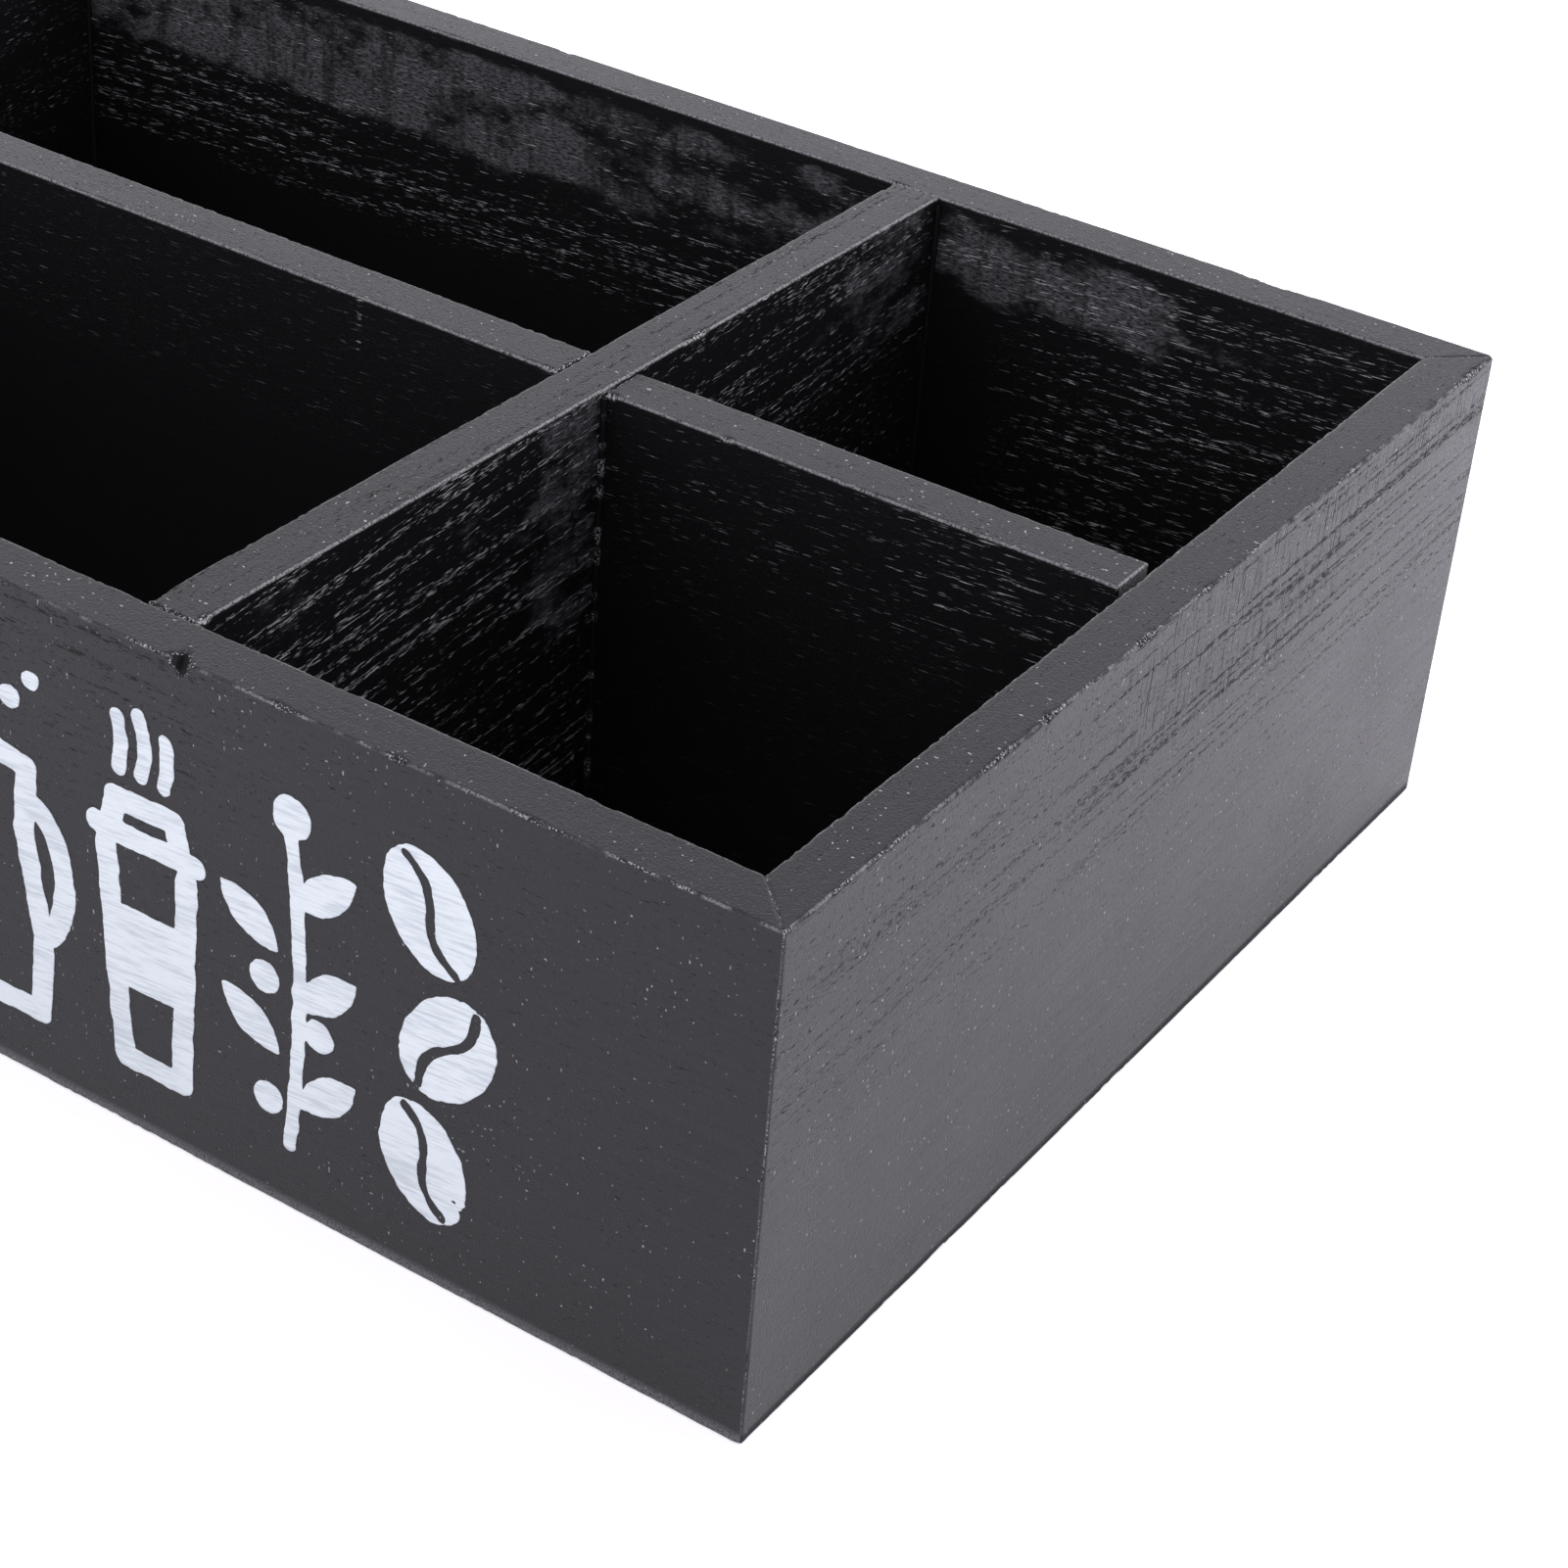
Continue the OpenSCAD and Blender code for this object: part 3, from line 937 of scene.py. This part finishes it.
def paintedDrawings():
    look = drawing
    xs = np.arange(-look["reach"], look["reach"], look["grid"])
    zs = np.arange(look["low"], look["high"], look["grid"])
    flat, outlines = fieldOutlines(xs, zs, drawnField(*np.meshgrid(xs, zs)))
    total = len(flat)
    front = np.column_stack([flat[:, 0], np.full(total, allLow[1]), flat[:, 1]])
    back = front + [0, look["thick"], 0]
    edges = [edge for outline in outlines for edge in zip(outline, outline[1:] + outline[:1])]
    known = set(edges)
    sides = [(end, start, start + total, end + total) for start, end in edges if (end, start) not in known]
    behind = [[index + total for index in reversed(outline)] for outline in outlines]
    polygons = outlines + behind + sides
    loops = [index for polygon in polygons for index in polygon]
    starts = np.cumsum([0] + [len(polygon) for polygon in polygons[:-1]])
    mesh = meshFrom("frontDrawings", np.vstack([front, back]), loops, starts)
    mesh.materials.append(whiteFilm)
    return addPiece("frontDrawings", mesh, "white_paint")


paintedDrawings()
print("front drawings made:", len(row))


# Pieces that repeat or follow a line are grown by Geometry Nodes

def grownPiece(name, seeds, edges, buildTree, inputs, material):
    base = bpy.data.meshes.new(name + "Seeds")
    base.from_pydata([tuple(np.array(seed) * mm) for seed in seeds], edges, [])
    holder = bpy.data.objects.new(name + "Seeds", base)
    bpy.context.scene.collection.objects.link(holder)
    group = bpy.data.node_groups.new(name + "Tree", "GeometryNodeTree")
    group.interface.new_socket(name="Geometry", in_out="INPUT", socket_type="NodeSocketGeometry")
    group.interface.new_socket(name="Geometry", in_out="OUTPUT", socket_type="NodeSocketGeometry")
    sizes = {}
    for label in inputs:
        made = group.interface.new_socket(name=label, in_out="INPUT", socket_type="NodeSocketFloat")
        sizes[label] = made.identifier
    tree = NodeTree(group)
    grown = buildTree(tree)
    real = tree.node("GeometryNodeRealizeInstances", None, [grown])
    painted = tree.node("GeometryNodeSetMaterial", None, {"Geometry": real, "Material": material})
    tree.node("NodeGroupOutput", None, [painted])
    modifier = holder.modifiers.new("grow", "NODES")
    modifier.node_group = group
    for label, value in inputs.items():
        modifier[sizes[label]] = value * mm
    solved = holder.evaluated_get(bpy.context.evaluated_depsgraph_get())
    mesh = bpy.data.meshes.new_from_object(solved)
    mesh.name = name
    holder.modifiers.remove(modifier)
    bpy.data.objects.remove(holder)
    return mesh


paintBead = {"Bead width": 1.5, "Wander": 0.35, "Step": 1.1}  # paint gathered in the upright inner corners
beadSeed = 7
beadLean = 0.28  # the bead's middle stands this far out of the corner
beadLow, beadTop = panelThick - 0.2, rim - 1.5


def beadTree(tree):
    line = tree.node("GeometryNodeMeshToCurve", None, [tree.given("Geometry")])
    line = tree.node("GeometryNodeResampleCurve", {"mode": "LENGTH"},
                     {"Curve": line, "Length": tree.given("Step")})
    swell = tree.node("FunctionNodeRandomValue", {"data_type": "FLOAT"},
                      {"Min": 0.72, "Max": 1.12, "Seed": beadSeed}, 1)
    line = tree.node("GeometryNodeSetCurveRadius", None, {"Curve": line, "Radius": swell})
    ring = tree.node("GeometryNodeCurvePrimitiveCircle", None,
                     {"Resolution": 10, "Radius": tree.given("Bead width") * 0.5})
    tube = tree.node("GeometryNodeCurveToMesh", None,
                     {"Curve": line, "Profile Curve": ring, "Fill Caps": True})
    wobble = tree.node("ShaderNodeTexNoise", None, {"Scale": 420.0, "Detail": 2.0}, 1)
    centred = tree.node("ShaderNodeVectorMath", {"operation": "SUBTRACT"}, [wobble, (0.5, 0.5, 0.5)])
    shift = tree.node("ShaderNodeVectorMath", {"operation": "SCALE"},
                      {0: centred, "Scale": tree.given("Wander")})
    tube = tree.node("GeometryNodeSetPosition", None, {"Geometry": tube, "Offset": shift})
    return tree.node("GeometryNodeSetShadeSmooth", None, [tube])


def innerCorners():  # where two upright inner faces meet, and which way the open cell lies
    inX, inY = allHigh[0] - wallThick, allHigh[1] - wallThick
    corners = [(sx * inX, sy * inY, -sx, -sy) for sx in (-1, 1) for sy in (-1, 1)]
    for y, sy in ((-inY, 1), (inY, -1)):
        corners += [(crossLow[0], y, -1, sy), (crossHigh[0], y, 1, sy)]
    for x, sx in ((-inX, 1), (crossLow[0], -1)):
        corners += [(x, longLow[1], sx, -1), (x, longHigh[1], sx, 1)]
    corners += [(crossHigh[0], shortLow[1], 1, -1), (crossHigh[0], shortHigh[1], 1, 1)]
    return corners


beadLines, beadEdges = [], []
for cornerX, cornerY, openX, openY in innerCorners():
    place = (cornerX + openX * beadLean, cornerY + openY * beadLean)
    beadEdges.append((len(beadLines), len(beadLines) + 1))
    beadLines += [(*place, beadLow), (*place, beadTop)]
beadMesh = grownPiece("cornerPaintBeads", beadLines, beadEdges, beadTree, paintBead, insideFinish[0])
beadPoints = meshPoints(beadMesh)
atJoint = np.hypot(beadPoints[:, 0] - crossHigh[0], beadPoints[:, 1] - shortLow[1]) < 3
paintValues(beadMesh, "torn", atJoint * smooth(lineNoise(beadPoints[:, 2], 1.6, 77), 0.5, 0.8) * 0.9)
addPiece("cornerPaintBeads", beadMesh, "black_painted_wood")

panelBrad = {"Head width": 2.0, "Head thickness": 0.7, "Wire width": 1.2, "Length": 18.0}
bradSeed = 3
bradApart = 4  # points nearer to each other than this lie on one head


def raised(tree, geometry, height):
    lift = tree.node("ShaderNodeCombineXYZ", None, {"Z": height})
    return tree.node("GeometryNodeTransform", None, {"Geometry": geometry, "Translation": lift})


def bradTree(tree):
    half = tree.given("Head width") * 0.5
    thick = tree.given("Head thickness")
    long = tree.given("Length")
    wire = tree.given("Wire width") * 0.5
    head = tree.node("GeometryNodeMeshCylinder", None, {
        "Vertices": 20, "Side Segments": 2, "Fill Segments": 4, "Radius": half, "Depth": thick})
    where = tree.node("GeometryNodeInputPosition")
    flat = tree.node("ShaderNodeVectorMath", {"operation": "MULTIPLY"}, [where, (1, 1, 0)])
    radius = tree.node("ShaderNodeVectorMath", {"operation": "LENGTH"}, [flat], 1)
    share = radius / half
    dimple = (1 - share.between(0.1, 0.55)) * (thick * 0.35) + share.between(0.7, 1.0) * (thick * 0.3)
    lift = tree.node("ShaderNodeCombineXYZ", None, {"Z": dimple})
    upright = tree.node("ShaderNodeSeparateXYZ", None, [where], 2)
    below = upright.maths("LESS_THAN", upright, 0.0)
    head = tree.node("GeometryNodeSetPosition", None,
                     {"Geometry": head, "Selection": below, "Offset": lift})
    head = raised(tree, head, thick * 0.5)
    point = long * 0.09
    body = long - thick - point
    shank = tree.node("GeometryNodeMeshCylinder", None, {"Vertices": 12, "Radius": wire, "Depth": body})
    shank = raised(tree, shank, thick + body * 0.5)
    tip = tree.node("GeometryNodeMeshCone", None,
                    {"Vertices": 12, "Radius Top": 0.12 * mm, "Radius Bottom": wire, "Depth": point})
    brad = tree.node("GeometryNodeJoinGeometry", None, {0: [head, shank, raised(tree, tip, long - point)]})
    spin = tree.node("FunctionNodeRandomValue", {"data_type": "FLOAT"},
                     {"Min": 0.0, "Max": 6.28, "Seed": bradSeed}, 1)
    turned = tree.node("ShaderNodeCombineXYZ", None, {"Z": spin})
    return tree.node("GeometryNodeInstanceOnPoints", None, {
        "Points": tree.given("Geometry"), "Instance": brad, "Rotation": turned})


def bradPlaces(node):  # one place under each brad's head, read from the node's own mesh
    points = meshPoints(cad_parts[node].data)
    heads = []
    for point in points[points[:, 2] < panelBrad["Head thickness"] * 0.5, :2]:
        near = [head for head in heads if math.dist(head[0], point) < bradApart]
        if near:
            near[0].append(point)
        else:
            heads.append([point])
    return [(*(np.min(head, 0) + np.max(head, 0)) / 2, 0.0) for head in heads]


panelBrads = {"boardPanelBrads": "board_panel_brads", "dividerPanelBrads": "divider_panel_brads"}
for pieceName, nodeName in panelBrads.items():
    places = bradPlaces(nodeName)
    bradMesh = grownPiece(pieceName, places, [], bradTree, panelBrad, steelFinish)
    bradMesh.set_sharp_from_angle(angle=math.radians(40))
    addPiece(pieceName, bradMesh, "brad_steel", nodeName)
    print(pieceName, "made:", len(places))

keptNodes = {"bottom_panel": plyFinish, "corner_brads": steelFinish, "cross_divider_brads": steelFinish,
             "long_divider_brads": steelFinish}
for nodeName, finish in keptNodes.items():
    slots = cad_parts[nodeName].data.materials
    slots.clear()
    slots.append(finish)
print("panel and hidden brads finished")


# Floor, light and camera

studio = {
    "floorSize": 6.0,
    "floorHeight": -0.0002,
    "floorColour": (0.72, 0.71, 0.76, 1),
    "floorSeen": 0.55,  # added where the camera sees the floor, so that it is white
    "floorMirrored": 0.29,
    "world": (1.0, 0.97, 1.08, 1),
    "worldStrength": 0.8,
    "lamps": [
        # name, place, what it points at, width and height, power, mirrored in glossy paint or not
        ("backSoft", (0.25, 1.9, 1.25), (0, 0, 0.05), (1.3, 1.3), 72, False),
        ("frontSoft", (-0.4, -1.5, 1.0), (0, 0, 0.05), (1.2, 1.2), 10, False),
        ("farPanel", (-1.2, 2.1, 0.65), (0, 0, 0.05), (2.6, 0.9), 5, True),
    ],
}


def whiteFloor():
    bpy.ops.mesh.primitive_plane_add(size=studio["floorSize"], location=(0, 0, studio["floorHeight"]))
    floor = bpy.context.object
    floor.name = "studioFloor"
    finish = Finish("studioFloorWhite")
    camera = finish.node("ShaderNodeLightPath", output="Is Camera Ray")
    glossy = finish.node("ShaderNodeLightPath", output="Is Glossy Ray")
    white = finish.node("ShaderNodeBsdfDiffuse", None, {"Color": studio["floorColour"]})
    strength = camera * studio["floorSeen"] + glossy * studio["floorMirrored"]
    glow = finish.node("ShaderNodeEmission", None, {"Strength": strength})
    both = finish.node("ShaderNodeAddShader", None, [white, glow])
    finish.node("ShaderNodeOutputMaterial", None, {"Surface": both})
    floor.data.materials.append(finish.material)


def whiteWorld():
    world = bpy.data.worlds.new("studioWorld")
    world.use_nodes = True
    bpy.context.scene.world = world
    sky = NodeTree(world.node_tree)
    camera = sky.node("ShaderNodeLightPath", output="Is Camera Ray")
    colour = sky.node("ShaderNodeMix", {"data_type": "RGBA"},
                      {0: camera, 6: studio["world"], 7: (1, 1, 1, 1)}, 2)
    strength = camera * (1 - studio["worldStrength"]) + studio["worldStrength"]
    light = sky.node("ShaderNodeBackground", None, [colour, strength])
    sky.node("ShaderNodeOutputWorld", None, {"Surface": light})


def softLamp(name, place, target, size, power, mirrored):
    light = bpy.data.lights.new(name, "AREA")
    light.shape = "RECTANGLE"
    light.size, light.size_y = size
    light.energy = power
    lamp = bpy.data.objects.new(name, light)
    lamp.location = place
    lamp.visible_glossy = mirrored
    lamp.rotation_euler = (Vector(target) - Vector(place)).to_track_quat("-Z", "Y").to_euler()
    bpy.context.scene.collection.objects.link(lamp)


cameraPlace = {
    "location": (0.39698, -0.47693, 0.39422),
    "forward": (-0.4344, 0.7165, -0.5457),
    "roll": 4.83,
    "lens": 80.47,
    "sensor": 36.0,
    "clip": (0.01, 20),
}


def photoCamera():
    look = cameraPlace
    lens = bpy.data.cameras.new("photoCamera")
    lens.lens, lens.sensor_width = look["lens"], look["sensor"]
    lens.clip_start, lens.clip_end = look["clip"]
    camera = bpy.data.objects.new("photoCamera", lens)
    turn = Vector(look["forward"]).to_track_quat("-Z", "Y").to_matrix().to_4x4()
    roll = Matrix.Rotation(math.radians(look["roll"]), 4, "Z")
    camera.matrix_world = Matrix.Translation(look["location"]) @ turn @ roll
    bpy.context.scene.collection.objects.link(camera)
    bpy.context.scene.camera = camera


whiteFloor()
whiteWorld()
for lamp in studio["lamps"]:
    softLamp(*lamp)
photoCamera()
bpy.context.scene.view_settings.view_transform = "Standard"
print("studio made")
